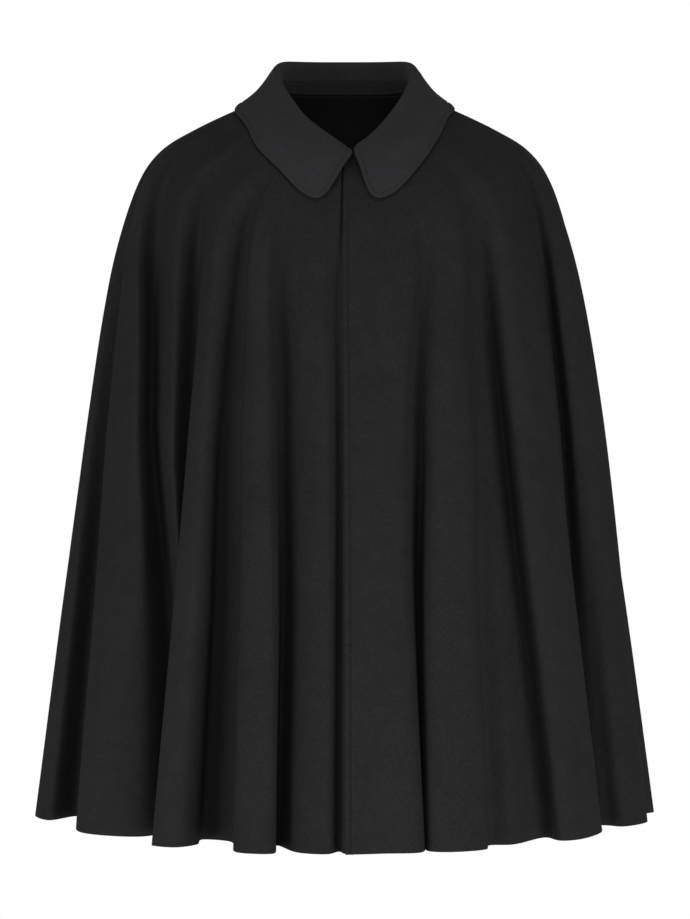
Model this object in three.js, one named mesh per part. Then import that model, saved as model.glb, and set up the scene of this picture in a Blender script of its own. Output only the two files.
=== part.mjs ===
// Wool cloak, worn form with nobody in it. Millimetres, z up, the wearer's front faces -y.
// The origin is the middle of the neck opening, 820 mm above the hem.
import * as THREE from 'three';

// Sizes
const CLOTH = 2.4;
const HEM_Z = -820;
const SEAM_GAP = 0.32;
const FOOT_GAP = 0.8;
const LAP_DEPTH = 4.8;
const LAP_PLACES = [0.5, 14, 26, 38];
const LEVELS_PER_STATION = 2;
const FRONT_COLUMNS = 2;
const BACK_COLUMNS = 4;
const BAND_BACK_HEIGHT = 17;
const BAND_FRONT_HEIGHT = 3.6;
const COLLAR_LIFT = 4.2;
const COLLAR_RIBS = 50;
const COLLAR_STEPS = 9;

const WOOL_COLOUR = 0x222226;

// The form under the folds, a row for each station from the neck down.
// Half width and height at the sides, depth and height at the front and back, squareness of the ring.
const STATIONS = [
  { name: 'neck', side: 72, sideZ: 2, front: 77, frontZ: -87, back: 66, backZ: 7, square: 2.0 },
  { name: 'collar edge', side: 117, sideZ: -17, front: 97, frontZ: -123, back: 90, backZ: -15, square: 2.0 },
  { name: 'shoulder', side: 168, sideZ: -41, front: 115, frontZ: -158, back: 110, backZ: -46, square: 2.0 },
  { name: 'shoulder point', side: 207, sideZ: -65, front: 128, frontZ: -190, back: 124, backZ: -82, square: 2.0 },
  { name: 'upper arm', side: 232, sideZ: -99, front: 138, frontZ: -222, back: 134, backZ: -124, square: 2.0 },
  { name: 'chest', side: 253, sideZ: -160, front: 148, frontZ: -272, back: 146, backZ: -186, square: 1.95 },
  { name: 'rib', side: 270, sideZ: -238, front: 159, frontZ: -335, back: 159, backZ: -262, square: 1.9 },
  { name: 'elbow', side: 291, sideZ: -370, front: 176, frontZ: -425, back: 178, backZ: -385, square: 1.84 },
  { name: 'hip', side: 318, sideZ: -560, front: 201, frontZ: -575, back: 204, backZ: -562, square: 1.75 },
  { name: 'hem', side: 352, sideZ: HEM_Z, front: 240, frontZ: HEM_Z, back: 240, backZ: HEM_Z, square: 1.65 },
];

// Stations at which the fold table gives its values
const YOKE = 4;
const WAIST = 7;
const HEM = 9;

// A row for each crest, edge and trough of the folds, in order round the cloak from the front edge
// of the left front. Bearings are in degrees from the front towards the wearer's left, and
// `out` is how far the cloth stands out from the form.
const FOLDS = [
  { name: 'front edge', yokeAt: -1.2, yokeOut: 0, waistAt: -0.2, waistOut: 0, hemAt: 0.1, hemOut: -1 },
  { name: 'chest flat', yokeAt: 12, yokeOut: 1, waistAt: 10, waistOut: 1.5, hemAt: 9.8, hemOut: -4 },
  { name: 'chest fold edge', yokeAt: 28.5, yokeOut: 2, waistAt: 19.5, waistOut: 0.4, hemAt: 19.4, hemOut: -3 },
  { name: 'chest trough', yokeAt: 34.4, yokeOut: -5, waistAt: 29.9, waistOut: -25, hemAt: 27, hemOut: -62.5 },
  { name: 'long fold edge', yokeAt: 37.4, yokeOut: 0.4, waistAt: 28.9, waistOut: 0.6, hemAt: 21.8, hemOut: -7.9 },
  { name: 'long fold', yokeAt: 42.2, yokeOut: 2.5, waistAt: 31.6, waistOut: 8, hemAt: 26.2, hemOut: 4 },
  { name: 'long fold side', yokeAt: 46.8, yokeOut: 0.6, waistAt: 40.6, waistOut: 3, hemAt: 35.4, hemOut: 2 },
  { name: 'wide trough', yokeAt: 52.2, yokeOut: -10, waistAt: 49.2, waistOut: -24.8, hemAt: 40.2, hemOut: -20 },
  { name: 'wide trough floor', yokeAt: 53.6, yokeOut: -11, waistAt: 53.6, waistOut: -27, hemAt: 45, hemOut: -13 },
  { name: 'arm trough', yokeAt: 55.1, yokeOut: -9, waistAt: 59.3, waistOut: -34, hemAt: 58.8, hemOut: -34 },
  { name: 'arm fold edge', yokeAt: 56.7, yokeOut: 1.6, waistAt: 54.5, waistOut: -0.7, hemAt: 56.6, hemOut: -7.1 },
  { name: 'arm fold', yokeAt: 58.6, yokeOut: 6, waistAt: 57.8, waistOut: 7.1, hemAt: 60.3, hemOut: -0.8 },
  { name: 'arm fold side', yokeAt: 65.6, yokeOut: -0.5, waistAt: 66.2, waistOut: -3, hemAt: 73, hemOut: -25 },
  { name: 'shoulder trough', yokeAt: 75, yokeOut: -11, waistAt: 78.3, waistOut: -30.7, hemAt: 80, hemOut: -62 },
  { name: 'shoulder fold edge', yokeAt: 75.6, yokeOut: -1, waistAt: 74.2, waistOut: -9, hemAt: 80.4, hemOut: -42 },
  { name: 'shoulder fold', yokeAt: 77.8, yokeOut: 6, waistAt: 75.8, waistOut: 1.4, hemAt: 79.5, hemOut: -22.8 },
  { name: 'left seam', yokeAt: 81.5, yokeOut: 2, waistAt: 85, waistOut: 3, hemAt: 86.6, hemOut: -9 },
  { name: 'side trough', yokeAt: 86, yokeOut: -3, waistAt: 90, waistOut: -10, hemAt: 92, hemOut: -30 },
  { name: 'left side fold', yokeAt: 92, yokeOut: 0, waistAt: 96.5, waistOut: 4, hemAt: 98.3, hemOut: 20 },
  { name: 'back trough 1', yokeAt: 103, yokeOut: -3, waistAt: 106, waistOut: -16, hemAt: 107, hemOut: -40 },
  { name: 'back fold 1', yokeAt: 111, yokeOut: 2, waistAt: 114, waistOut: 3, hemAt: 117, hemOut: 8 },
  { name: 'back trough 2', yokeAt: 120, yokeOut: -2, waistAt: 122, waistOut: -13, hemAt: 125, hemOut: -30 },
  { name: 'back fold 2', yokeAt: 128, yokeOut: 2, waistAt: 131, waistOut: 5, hemAt: 134, hemOut: 6 },
  { name: 'back trough 3', yokeAt: 138, yokeOut: -3, waistAt: 139, waistOut: -17, hemAt: 142, hemOut: -44 },
  { name: 'back fold 3', yokeAt: 146, yokeOut: 2, waistAt: 148, waistOut: 6, hemAt: 151, hemOut: 8 },
  { name: 'back trough 4', yokeAt: 156, yokeOut: -2, waistAt: 158, waistOut: -11, hemAt: 160, hemOut: -28 },
  { name: 'back fold 4', yokeAt: 166, yokeOut: 1, waistAt: 167, waistOut: 3, hemAt: 168, hemOut: 3 },
  { name: 'back trough 5', yokeAt: 177, yokeOut: -2, waistAt: 177, waistOut: -16, hemAt: 177, hemOut: -42 },
  { name: 'back fold 5', yokeAt: 188, yokeOut: 2, waistAt: 187, waistOut: 5, hemAt: 186, hemOut: 6 },
  { name: 'back trough 6', yokeAt: 198, yokeOut: -2, waistAt: 197, waistOut: -12, hemAt: 196, hemOut: -30 },
  { name: 'back fold 6', yokeAt: 208, yokeOut: 2, waistAt: 206, waistOut: 4, hemAt: 205, hemOut: 4 },
  { name: 'back trough 7', yokeAt: 218, yokeOut: -3, waistAt: 215, waistOut: -18, hemAt: 213, hemOut: -46 },
  { name: 'back fold 7', yokeAt: 227, yokeOut: 2, waistAt: 224, waistOut: 6, hemAt: 222, hemOut: 8 },
  { name: 'back trough 8', yokeAt: 236, yokeOut: -2, waistAt: 233, waistOut: -12, hemAt: 231, hemOut: -30 },
  { name: 'back fold 8', yokeAt: 244, yokeOut: 2, waistAt: 242, waistOut: 4, hemAt: 240, hemOut: 4 },
  { name: 'back trough 9', yokeAt: 253, yokeOut: -2, waistAt: 252, waistOut: -15, hemAt: 251, hemOut: -36 },
  { name: 'right side fold', yokeAt: 263, yokeOut: 0, waistAt: 264, waistOut: 3, hemAt: 265, hemOut: 8 },
  { name: 'right side face', yokeAt: 270, yokeOut: 0, waistAt: 275, waistOut: -3, hemAt: 272.3, hemOut: -18 },
  { name: 'right side trough', yokeAt: 275, yokeOut: -6, waistAt: 273.9, waistOut: -26.2, hemAt: 267, hemOut: -44 },
  { name: 'right seam', yokeAt: 279.8, yokeOut: 2, waistAt: 282.9, waistOut: -5.5, hemAt: 286.8, hemOut: -14.6 },
  { name: 'arm side face', yokeAt: 281.5, yokeOut: 4.5, waistAt: 290, waistOut: 1.1, hemAt: 292.5, hemOut: -13.3 },
  { name: 'arm side fold', yokeAt: 285.3, yokeOut: 8.7, waistAt: 295, waistOut: 1.6, hemAt: 299.5, hemOut: -35.7 },
  { name: 'deep trough', yokeAt: 285.9, yokeOut: -10, waistAt: 287.2, waistOut: -42, hemAt: 298, hemOut: -84 },
  { name: 'narrow ridge', yokeAt: 298.7, yokeOut: 6.5, waistAt: 303.1, waistOut: -7.9, hemAt: 304.5, hemOut: -62 },
  { name: 'narrow trough', yokeAt: 300.1, yokeOut: -12.5, waistAt: 300, waistOut: -39.9, hemAt: 308.5, hemOut: -34 },
  { name: 'breast fold edge', yokeAt: 307, yokeOut: 1.1, waistAt: 309.9, waistOut: 2.1, hemAt: 311.4, hemOut: 3.8 },
  { name: 'breast fold', yokeAt: 311.6, yokeOut: 8.1, waistAt: 315.5, waistOut: 10.6, hemAt: 317.4, hemOut: 4 },
  { name: 'breast fold side', yokeAt: 313.6, yokeOut: 3, waistAt: 316.4, waistOut: 1.6, hemAt: 318.4, hemOut: -22 },
  { name: 'breast trough', yokeAt: 315.2, yokeOut: -13, waistAt: 313.3, waistOut: -28, hemAt: 313.4, hemOut: -55 },
  { name: 'breast trough side', yokeAt: 317.6, yokeOut: -12, waistAt: 320.7, waistOut: -21.1, hemAt: 322, hemOut: -55 },
  { name: 'post fold edge', yokeAt: 321.3, yokeOut: 1.9, waistAt: 326, waistOut: 1.3, hemAt: 333.1, hemOut: 5 },
  { name: 'post fold', yokeAt: 325.8, yokeOut: 4.5, waistAt: 331.6, waistOut: 9, hemAt: 338, hemOut: 9.5 },
  { name: 'post fold side', yokeAt: 328.2, yokeOut: 2, waistAt: 335.3, waistOut: 4.9, hemAt: 342.3, hemOut: 3 },
  { name: 'post trough', yokeAt: 330.3, yokeOut: -10, waistAt: 334.5, waistOut: -27.7, hemAt: 338.6, hemOut: -46 },
  { name: 'middle fold edge', yokeAt: 338.3, yokeOut: -0.9, waistAt: 345.3, waistOut: -6, hemAt: 348, hemOut: -8.4 },
  { name: 'middle fold', yokeAt: 350.5, yokeOut: 0.8, waistAt: 354.2, waistOut: 1.6, hemAt: 355.6, hemOut: -3.6 },
  { name: 'dip at the edge', yokeAt: 356.5, yokeOut: -6, waistAt: 358, waistOut: -12, hemAt: 358.4, hemOut: -20 },
];

// Ribs of the turned-down collar, from its right front end round the back to its left front end.
// The roll is its top line; the edge lies on the shoulders and chest.
const COLLAR = [
  { name: 'right front end', rollAt: 5.3, rollRadius: 80.5, rollZ: -75, half: 3.6, edgeAt: -7.0, edgeZ: -110.5, belly: 1 },
  { name: 'right tip inner', rollAt: 3, rollRadius: 80.5, rollZ: -73, half: 3.6, edgeAt: -11, edgeZ: -125, belly: 1 },
  { name: 'right tip', rollAt: -2, rollRadius: 80.5, rollZ: -68, half: 4, edgeAt: -16, edgeZ: -130.5, belly: 2 },
  { name: 'right tip outer', rollAt: -9, rollRadius: 80.3, rollZ: -61, half: 4.6, edgeAt: -21.2, edgeZ: -127.5, belly: 3 },
  { name: 'right breast', rollAt: -20, rollRadius: 80, rollZ: -50, half: 5, edgeAt: -27.6, edgeZ: -118.5, belly: 4 },
  { name: 'right chest', rollAt: -36, rollRadius: 78, rollZ: -33, half: 5.4, edgeAt: -38, edgeZ: -98, belly: 5 },
  { name: 'right front shoulder', rollAt: -52, rollRadius: 77, rollZ: -12, half: 5.6, edgeAt: -51, edgeZ: -74, belly: 2.5 },
  { name: 'right top shoulder', rollAt: -66, rollRadius: 77.5, rollZ: 4, half: 5.8, edgeAt: -64, edgeZ: -46, belly: 1 },
  { name: 'right upper side', rollAt: -78, rollRadius: 78.5, rollZ: 17, half: 5.8, edgeAt: -77, edgeZ: -27, belly: -1 },
  { name: 'right side', rollAt: -92, rollRadius: 79, rollZ: 28.5, half: 6, edgeAt: -92, edgeZ: -13, belly: -2 },
  { name: 'right back shoulder', rollAt: -115, rollRadius: 78, rollZ: 40.6, half: 6, edgeAt: -117, edgeZ: -12, belly: -2 },
  { name: 'right back', rollAt: -145, rollRadius: 76, rollZ: 45.6, half: 6, edgeAt: -148, edgeZ: -15, belly: -1 },
  { name: 'middle back', rollAt: -180, rollRadius: 74, rollZ: 47.4, half: 6, edgeAt: -180, edgeZ: -18, belly: 0 },
  { name: 'left back', rollAt: -215, rollRadius: 76, rollZ: 45.6, half: 6, edgeAt: -212, edgeZ: -15, belly: -1 },
  { name: 'left back shoulder', rollAt: -245, rollRadius: 78, rollZ: 40.6, half: 6, edgeAt: -243, edgeZ: -12, belly: -2 },
  { name: 'left side', rollAt: -268, rollRadius: 79, rollZ: 29, half: 6, edgeAt: -268, edgeZ: -13, belly: -2 },
  { name: 'left upper side', rollAt: -282, rollRadius: 79.5, rollZ: 17, half: 5.8, edgeAt: -281, edgeZ: -24, belly: -1 },
  { name: 'left top shoulder', rollAt: -293, rollRadius: 79.5, rollZ: 6, half: 5.8, edgeAt: -291, edgeZ: -37, belly: 1 },
  { name: 'left front shoulder', rollAt: -306, rollRadius: 79, rollZ: -11, half: 5.6, edgeAt: -303, edgeZ: -61, belly: 2.5 },
  { name: 'left chest', rollAt: -321, rollRadius: 79, rollZ: -32, half: 5.4, edgeAt: -316.5, edgeZ: -91, belly: 5 },
  { name: 'left breast', rollAt: -334, rollRadius: 80, rollZ: -50, half: 5, edgeAt: -327, edgeZ: -113.5, belly: 4 },
  { name: 'left tip outer', rollAt: -343, rollRadius: 80.3, rollZ: -61, half: 4.6, edgeAt: -333.6, edgeZ: -124.8, belly: 3 },
  { name: 'left tip', rollAt: -349, rollRadius: 80.5, rollZ: -67, half: 4, edgeAt: -341, edgeZ: -130.5, belly: 2 },
  { name: 'left tip inner', rollAt: -352, rollRadius: 80.5, rollZ: -71, half: 3.6, edgeAt: -345.6, edgeZ: -124.5, belly: 1 },
  { name: 'left front end', rollAt: -353.2, rollRadius: 80.5, rollZ: -74, half: 3.6, edgeAt: -347.4, edgeZ: -110, belly: 1 },
];

// A smooth value between the rows of a table, at a place counted in rows
function between(rows, key, place) {
  const last = rows.length - 1;
  const row = Math.min(Math.floor(place), last - 1);
  const share = place - row;
  const a = rows[Math.max(row - 1, 0)][key];
  const b = rows[row][key];
  const c = rows[row + 1][key];
  const d = rows[Math.min(row + 2, last)][key];
  const bend = 2 * b + (c - a) * share + (2 * a - 5 * b + 4 * c - d) * share ** 2;
  return (bend + (3 * b - a - 3 * c + d) * share ** 3) / 2;
}

// The form under the folds at a bearing in degrees and a station
function formPoint(bearing, station) {
  const angle = THREE.MathUtils.degToRad(bearing);
  const across = Math.sin(angle);
  const ahead = Math.cos(angle);
  const facing = ahead > 0 ? 'front' : 'back';
  const side = between(STATIONS, 'side', station);
  const depth = between(STATIONS, facing, station);
  const sideZ = between(STATIONS, 'sideZ', station);
  const depthZ = between(STATIONS, facing + 'Z', station);
  const square = between(STATIONS, 'square', station);
  const sum = Math.abs(across / side) ** square + Math.abs(ahead / depth) ** square;
  const radius = sum ** (-1 / square);
  const z = sideZ + (depthZ - sideZ) * Math.abs(ahead) ** 1.6;
  return { radius, angle, z };
}

function place(radius, angle, z) {
  return new THREE.Vector3(radius * Math.sin(angle), -radius * Math.cos(angle), z);
}

// A fold's bearing or depth at a station; folds die away under the collar
function foldValue(fold, what, station) {
  const top = what === 'At' ? fold.yokeAt : 0;
  const knots = [
    { station: 0, value: top },
    { station: 1, value: top },
    { station: YOKE, value: fold['yoke' + what] },
    { station: WAIST, value: fold['waist' + what] },
    { station: HEM, value: fold['hem' + what] },
  ];
  const upper = knots.findLastIndex((knot) => knot.station <= station);
  const row = Math.min(upper, knots.length - 2);
  const span = knots[row + 1].station - knots[row].station;
  return between(knots, 'value', row + (station - knots[row].station) / span);
}

// Points of the right front where it runs on under the left front's edge
function lapPoints(curve) {
  const points = [];
  let length = 0;
  let previous = curve.getPoint(0);
  for (let step = 1; points.length < LAP_PLACES.length; step += 1) {
    const point = curve.getPoint(step / 2000);
    length += point.distanceTo(previous);
    previous = point;
    if (length < LAP_PLACES[points.length]) continue;
    const radius = Math.hypot(point.x, point.y) - LAP_DEPTH;
    points.push(place(radius, Math.atan2(point.x, -point.y), point.z));
  }
  return points;
}

// The ring of cloth at a station, as a smooth curve through every row of the fold table
function clothRing(station) {
  const points = FOLDS.map((fold) => {
    const form = formPoint(foldValue(fold, 'At', station), station);
    return place(form.radius + foldValue(fold, 'Out', station), form.angle, form.z);
  });
  const curve = new THREE.CatmullRomCurve3(points, false, 'centripetal');
  const whole = [...points, ...lapPoints(curve)];
  return new THREE.CatmullRomCurve3(whole, false, 'centripetal');
}

// Outward directions of a grid of points, from their neighbours
function outwardDirections(grid) {
  const lastRow = grid.length - 1;
  const lastColumn = grid[0].length - 1;
  return grid.map((row, i) => row.map((point, j) => {
    const along = grid[i][Math.min(j + 1, lastColumn)].clone().sub(grid[i][Math.max(j - 1, 0)]);
    const down = grid[Math.min(i + 1, lastRow)][j].clone().sub(grid[Math.max(i - 1, 0)][j]);
    return down.cross(along).normalize();
  }));
}

// A closed wall of cloth under a grid of points
function clothWall(name, grid, directions) {
  const rows = grid.length;
  const columns = grid[0].length;
  const corners = [];
  for (const depth of [0, CLOTH]) {
    grid.forEach((row, i) => row.forEach((point, j) => {
      const corner = point.clone().addScaledVector(directions[i][j], -depth);
      corners.push(corner.x, corner.y, corner.z);
    }));
  }
  const face = (i, j) => i * columns + j;
  const under = (i, j) => rows * columns + face(i, j);
  const triangles = [];
  const quad = (a, b, c, d) => triangles.push(a, b, c, a, c, d);
  for (let i = 0; i < rows - 1; i += 1) {
    for (let j = 0; j < columns - 1; j += 1) {
      quad(face(i, j), face(i + 1, j), face(i + 1, j + 1), face(i, j + 1));
      quad(under(i, j), under(i, j + 1), under(i + 1, j + 1), under(i + 1, j));
    }
    quad(face(i, 0), under(i, 0), under(i + 1, 0), face(i + 1, 0));
    quad(face(i, columns - 1), face(i + 1, columns - 1), under(i + 1, columns - 1), under(i, columns - 1));
  }
  for (let j = 0; j < columns - 1; j += 1) {
    quad(face(0, j), face(0, j + 1), under(0, j + 1), under(0, j));
    quad(face(rows - 1, j), under(rows - 1, j), under(rows - 1, j + 1), face(rows - 1, j + 1));
  }
  const geometry = new THREE.BufferGeometry();
  geometry.setAttribute('position', new THREE.Float32BufferAttribute(corners, 3));
  geometry.setIndex(triangles);
  geometry.computeVertexNormals();
  const material = new THREE.MeshStandardMaterial({ color: WOOL_COLOUR, roughness: 0.95 });
  const mesh = new THREE.Mesh(geometry, material);
  mesh.name = name;
  return mesh;
}

// Where each column runs, counted in rows of the fold table and then in the lap's points
function columnPlaces() {
  const backStart = FOLDS.findIndex((fold) => fold.name === 'left side fold');
  const backEnd = FOLDS.findIndex((fold) => fold.name === 'right side fold');
  const last = FOLDS.length + LAP_PLACES.length - 1;
  const places = [];
  for (let row = 0; row < last; row += 1) {
    const steps = row >= backStart && row < backEnd ? BACK_COLUMNS : FRONT_COLUMNS;
    for (let step = 0; step < steps; step += 1) places.push(row + step / steps);
  }
  return [...places, last];
}

// Every level and column of the cloak's skirt, before it is cut into panels
function clothGrid() {
  const places = columnPlaces();
  const levels = HEM * LEVELS_PER_STATION;
  return Array.from({ length: levels + 1 }, (unused, i) => {
    const ring = clothRing(i / LEVELS_PER_STATION);
    return places.map((row) => ring.getPoint(row / places.at(-1)));
  });
}

// One panel between two rows of the fold table, held a little short of the seams
function panel(name, grid, directions, fromFold, toFold) {
  const columnOf = (fold) => columnPlaces().indexOf(FOLDS.findIndex((row) => row.name === fold));
  const first = columnOf(fromFold);
  const last = toFold ? columnOf(toFold) : grid[0].length - 1;
  const points = grid.map((row) => {
    const cut = row.slice(first, last + 1).map((point) => point.clone());
    const end = cut.length - 1;
    const startStep = cut[1].clone().sub(cut[0]).setLength(SEAM_GAP / 2);
    const endStep = cut[end - 1].clone().sub(cut[end]).setLength(SEAM_GAP / 2);
    cut[0].add(startStep);
    cut[end].add(endStep);
    return cut;
  });
  return clothWall(name, points, directions.map((row) => row.slice(first, last + 1)));
}

// The form's outline at a bearing, moved straight out from its surface by the collar's lift
function liftedPoint(bearing, station) {
  const here = formPoint(bearing, station);
  const near = formPoint(bearing, Math.max(station - 0.02, 0));
  const far = formPoint(bearing, Math.min(station + 0.02, HEM));
  const run = far.radius - near.radius;
  const drop = near.z - far.z;
  const length = Math.hypot(run, drop);
  return {
    radius: here.radius + (drop / length) * COLLAR_LIFT,
    z: here.z + (run / length) * COLLAR_LIFT,
  };
}

// How far out the collar has to lie at a bearing and height to clear the skirt
function clearRadius(bearing, z) {
  let high = 0;
  let low = HEM;
  for (let step = 0; step < 24; step += 1) {
    const middle = (high + low) / 2;
    if (liftedPoint(bearing, middle).z > z) high = middle;
    else low = middle;
  }
  return liftedPoint(bearing, high).radius;
}

// The panels' top edge, the neck seam, as bearings with their radius and height
function neckSeamPoints(topRow) {
  const folds = topRow.slice(0, columnPlaces().indexOf(FOLDS.length - 1) + 1);
  const points = folds.map((point) => {
    const bearing = THREE.MathUtils.radToDeg(Math.atan2(point.x, -point.y));
    return { bearing, radius: Math.hypot(point.x, point.y), z: point.z };
  });
  for (const point of points.slice(1)) point.bearing = (point.bearing + 360) % 360;
  return [...points, { ...points[0], bearing: points[0].bearing + 360 }];
}

// The neck seam at one bearing
function neckSeam(seam, bearing) {
  let turned = ((bearing % 360) + 360) % 360;
  if (turned > seam.at(-1).bearing) turned -= 360;
  const next = Math.max(seam.findIndex((point) => point.bearing >= turned), 1);
  const [a, b] = [seam[next - 1], seam[next]];
  const share = (turned - a.bearing) / (b.bearing - a.bearing);
  return { radius: a.radius + (b.radius - a.radius) * share, z: a.z + (b.z - a.z) * share };
}

// How high the neck band stands at a bearing
function bandHeight(bearing) {
  const ahead = Math.cos(THREE.MathUtils.degToRad(bearing));
  const share = (1 - ahead) / 2;
  return BAND_FRONT_HEIGHT + (BAND_BACK_HEIGHT - BAND_FRONT_HEIGHT) * share ** 0.7;
}

// The inner face of the neck band at a height over the neck seam
function bandFace(seam, rib, height) {
  const neck = neckSeam(seam, rib.rollAt);
  const inside = neck.radius - CLOTH;
  const top = rib.rollRadius - rib.half;
  const share = height / (rib.rollZ - rib.half - neck.z);
  return { radius: inside + (top - inside) * share, z: neck.z + height };
}

function collarRib(place) {
  const rib = {};
  for (const key of Object.keys(COLLAR[0]).filter((name) => name !== 'name')) {
    rib[key] = between(COLLAR, key, place);
  }
  return rib;
}

function towardsNeck(row) {
  return row.map((point) => new THREE.Vector3(-point.x, -point.y, 0).normalize());
}

// Neck band: a wall standing on the neck seam
function neckBand(seam) {
  const grid = [];
  const steps = 3;
  for (let i = 0; i <= steps; i += 1) {
    const row = [];
    for (let j = COLLAR_RIBS; j >= 0; j -= 1) {
      const rib = collarRib((j / COLLAR_RIBS) * (COLLAR.length - 1));
      const height = FOOT_GAP + (bandHeight(rib.rollAt) - FOOT_GAP) * (i / steps);
      const face = bandFace(seam, rib, height);
      row.push(place(face.radius, THREE.MathUtils.degToRad(rib.rollAt), face.z));
    }
    grid.push(row);
  }
  return clothWall('collar_stand', grid, grid.map(towardsNeck));
}

// The collar's section at one rib: up from the band, over the roll, down to the edge
function collarSection(seam, rib) {
  const foot = bandFace(seam, rib, bandHeight(rib.rollAt) + FOOT_GAP);
  const edge = { radius: clearRadius(rib.edgeAt, rib.edgeZ), z: rib.edgeZ };
  const shoulder = { radius: rib.rollRadius + rib.half, z: rib.rollZ - rib.half };
  const middle = {
    radius: (shoulder.radius + edge.radius) / 2 + rib.belly,
    z: (shoulder.z + edge.z) / 2 + rib.belly,
  };
  return [
    { at: rib.rollAt, ...foot },
    { at: rib.rollAt, radius: rib.rollRadius - rib.half, z: rib.rollZ - rib.half },
    { at: rib.rollAt, radius: rib.rollRadius, z: rib.rollZ },
    { at: rib.rollAt, ...shoulder },
    { at: (rib.rollAt + rib.edgeAt) / 2, ...middle },
    { at: rib.edgeAt, ...edge },
  ];
}

// The turned-down collar, pushed clear of the skirt wherever it would touch it
function turnedCollar(seam) {
  const columns = [];
  for (let j = 0; j <= COLLAR_RIBS; j += 1) {
    const rib = collarRib((j / COLLAR_RIBS) * (COLLAR.length - 1));
    const corners = collarSection(seam, rib).map((corner) => {
      return place(corner.radius, THREE.MathUtils.degToRad(corner.at), corner.z);
    });
    const curve = new THREE.CatmullRomCurve3(corners, false, 'centripetal');
    columns.push(curve.getPoints(COLLAR_STEPS * 2).map((point, i) => {
      if (i < COLLAR_STEPS) return point;
      const bearing = THREE.MathUtils.radToDeg(Math.atan2(point.x, -point.y));
      const radius = Math.hypot(point.x, point.y);
      const clear = clearRadius(bearing, point.z);
      return radius < clear ? place(clear, Math.atan2(point.x, -point.y), point.z) : point;
    }));
  }
  const grid = columns[0].map((unused, i) => columns.map((column) => column[i]).reverse());
  const directions = outwardDirections(grid);
  directions[0] = towardsNeck(grid[0]);
  return clothWall('collar_fall', grid, directions);
}

const cloak = new THREE.Group();
cloak.name = 'cloak';
const grid = clothGrid();
const directions = outwardDirections(grid);
cloak.add(panel('front_left', grid, directions, 'front edge', 'left seam'));
cloak.add(panel('back', grid, directions, 'left seam', 'right seam'));
cloak.add(panel('front_right', grid, directions, 'right seam', null));
const seam = neckSeamPoints(grid[0]);
cloak.add(neckBand(seam));
cloak.add(turnedCollar(seam));

export default cloak;
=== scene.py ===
# %% [markdown]
# A wool cloak, filled out as if worn, with nobody in it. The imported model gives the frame: its
# solids say where each cloth panel lies, and this lesson dresses them. Everything is in metres,
# z is up, the wearer's front faces -y, and the origin is the middle of the neck opening.

# %% Load the frame
import math

import bpy
import numpy as np
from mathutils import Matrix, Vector


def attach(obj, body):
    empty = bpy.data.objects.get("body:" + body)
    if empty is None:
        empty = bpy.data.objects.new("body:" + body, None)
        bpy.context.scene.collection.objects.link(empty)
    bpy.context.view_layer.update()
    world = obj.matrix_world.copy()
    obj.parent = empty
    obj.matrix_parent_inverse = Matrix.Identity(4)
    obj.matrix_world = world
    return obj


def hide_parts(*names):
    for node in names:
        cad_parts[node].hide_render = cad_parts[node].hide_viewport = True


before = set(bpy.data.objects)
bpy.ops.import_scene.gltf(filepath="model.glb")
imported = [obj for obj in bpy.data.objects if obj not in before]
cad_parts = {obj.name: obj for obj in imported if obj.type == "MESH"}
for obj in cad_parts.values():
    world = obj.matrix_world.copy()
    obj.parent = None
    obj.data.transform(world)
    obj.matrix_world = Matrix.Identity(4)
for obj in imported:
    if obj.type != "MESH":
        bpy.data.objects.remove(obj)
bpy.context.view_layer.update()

MM = 0.001
BODY = "root"
print("nodes:", sorted(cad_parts))

# %% [markdown]
# The photograph was taken from straight ahead, a little below the middle of the garment's height,
# with a long lens. A camera 2.6 m away with its lens level gives the same view: the front of the
# hem hangs lower in the picture than its sides, because it is nearer.

# %% Camera
CAMERA_DISTANCE = 2.6
CAMERA_HEIGHT = -414.3 * MM
LENS = 90.15
SENSOR_WIDTH = 36

camera_data = bpy.data.cameras.new("camera")
camera_data.sensor_width = SENSOR_WIDTH
camera_data.lens = LENS
camera = bpy.data.objects.new("camera", camera_data)
camera.location = (0, -CAMERA_DISTANCE, CAMERA_HEIGHT)
camera.rotation_euler = (math.radians(90), 0, 0)
bpy.context.collection.objects.link(camera)
bpy.context.scene.camera = camera
print("camera at", tuple(round(x, 3) for x in camera.location))

# %% [markdown]
# Black wool only shows its form by how light slides over it. Two low soft boxes to the left and
# right light the crests from both sides, so little light reaches the floors of the troughs between
# them. A fill behind the camera and a weak lamp overhead light the rest. The floor and the wall
# behind are one white sweep that shines for the camera and stays dim for the cloth. Each lamp has
# a place, a point that it faces, a width, a height and a power in watts.

# %% Light
FLOOR_Z = -1.45
SWEEP_GLOW = 0.32
LAMPS = (
    ("low left soft box", (-1.3, -1.3, -1.05), (0, 0, -0.7), 0.9, 0.8, 20),
    ("low right soft box", (1.3, -1.3, -1.05), (0, 0, -0.7), 0.9, 0.8, 20),
    ("front fill", (0, -3.0, -0.3), (0, 0, -0.3), 0.6, 0.6, 14),
    ("top light", (0, -1.0, 1.8), (0, 0, -0.1), 0.7, 0.7, 10),
)


def add_area_light(name, place, aim, width, height, power):
    data = bpy.data.lights.new(name, "AREA")
    data.shape = "RECTANGLE"
    data.size = width
    data.size_y = height
    data.energy = power
    lamp = bpy.data.objects.new(name, data)
    lamp.location = place
    turn = Vector(aim) - Vector(place)
    lamp.rotation_euler = turn.to_track_quat("-Z", "Y").to_euler()
    bpy.context.collection.objects.link(lamp)


for lamp in LAMPS:
    add_area_light(*lamp)

scene = bpy.context.scene
scene.view_settings.view_transform = "Standard"

# %% [markdown]
# The white sweep is stage, not part of the cloak. It and the world round it glow at full white
# for the camera, and a Light Path node turns the glow down for every other ray.

# %% White sweep
SWEEP_HALF_WIDTH = 9.0
SWEEP_FRONT = -5.0
SWEEP_BACK = 7.0
SWEEP_TOP = 5.0


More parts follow.
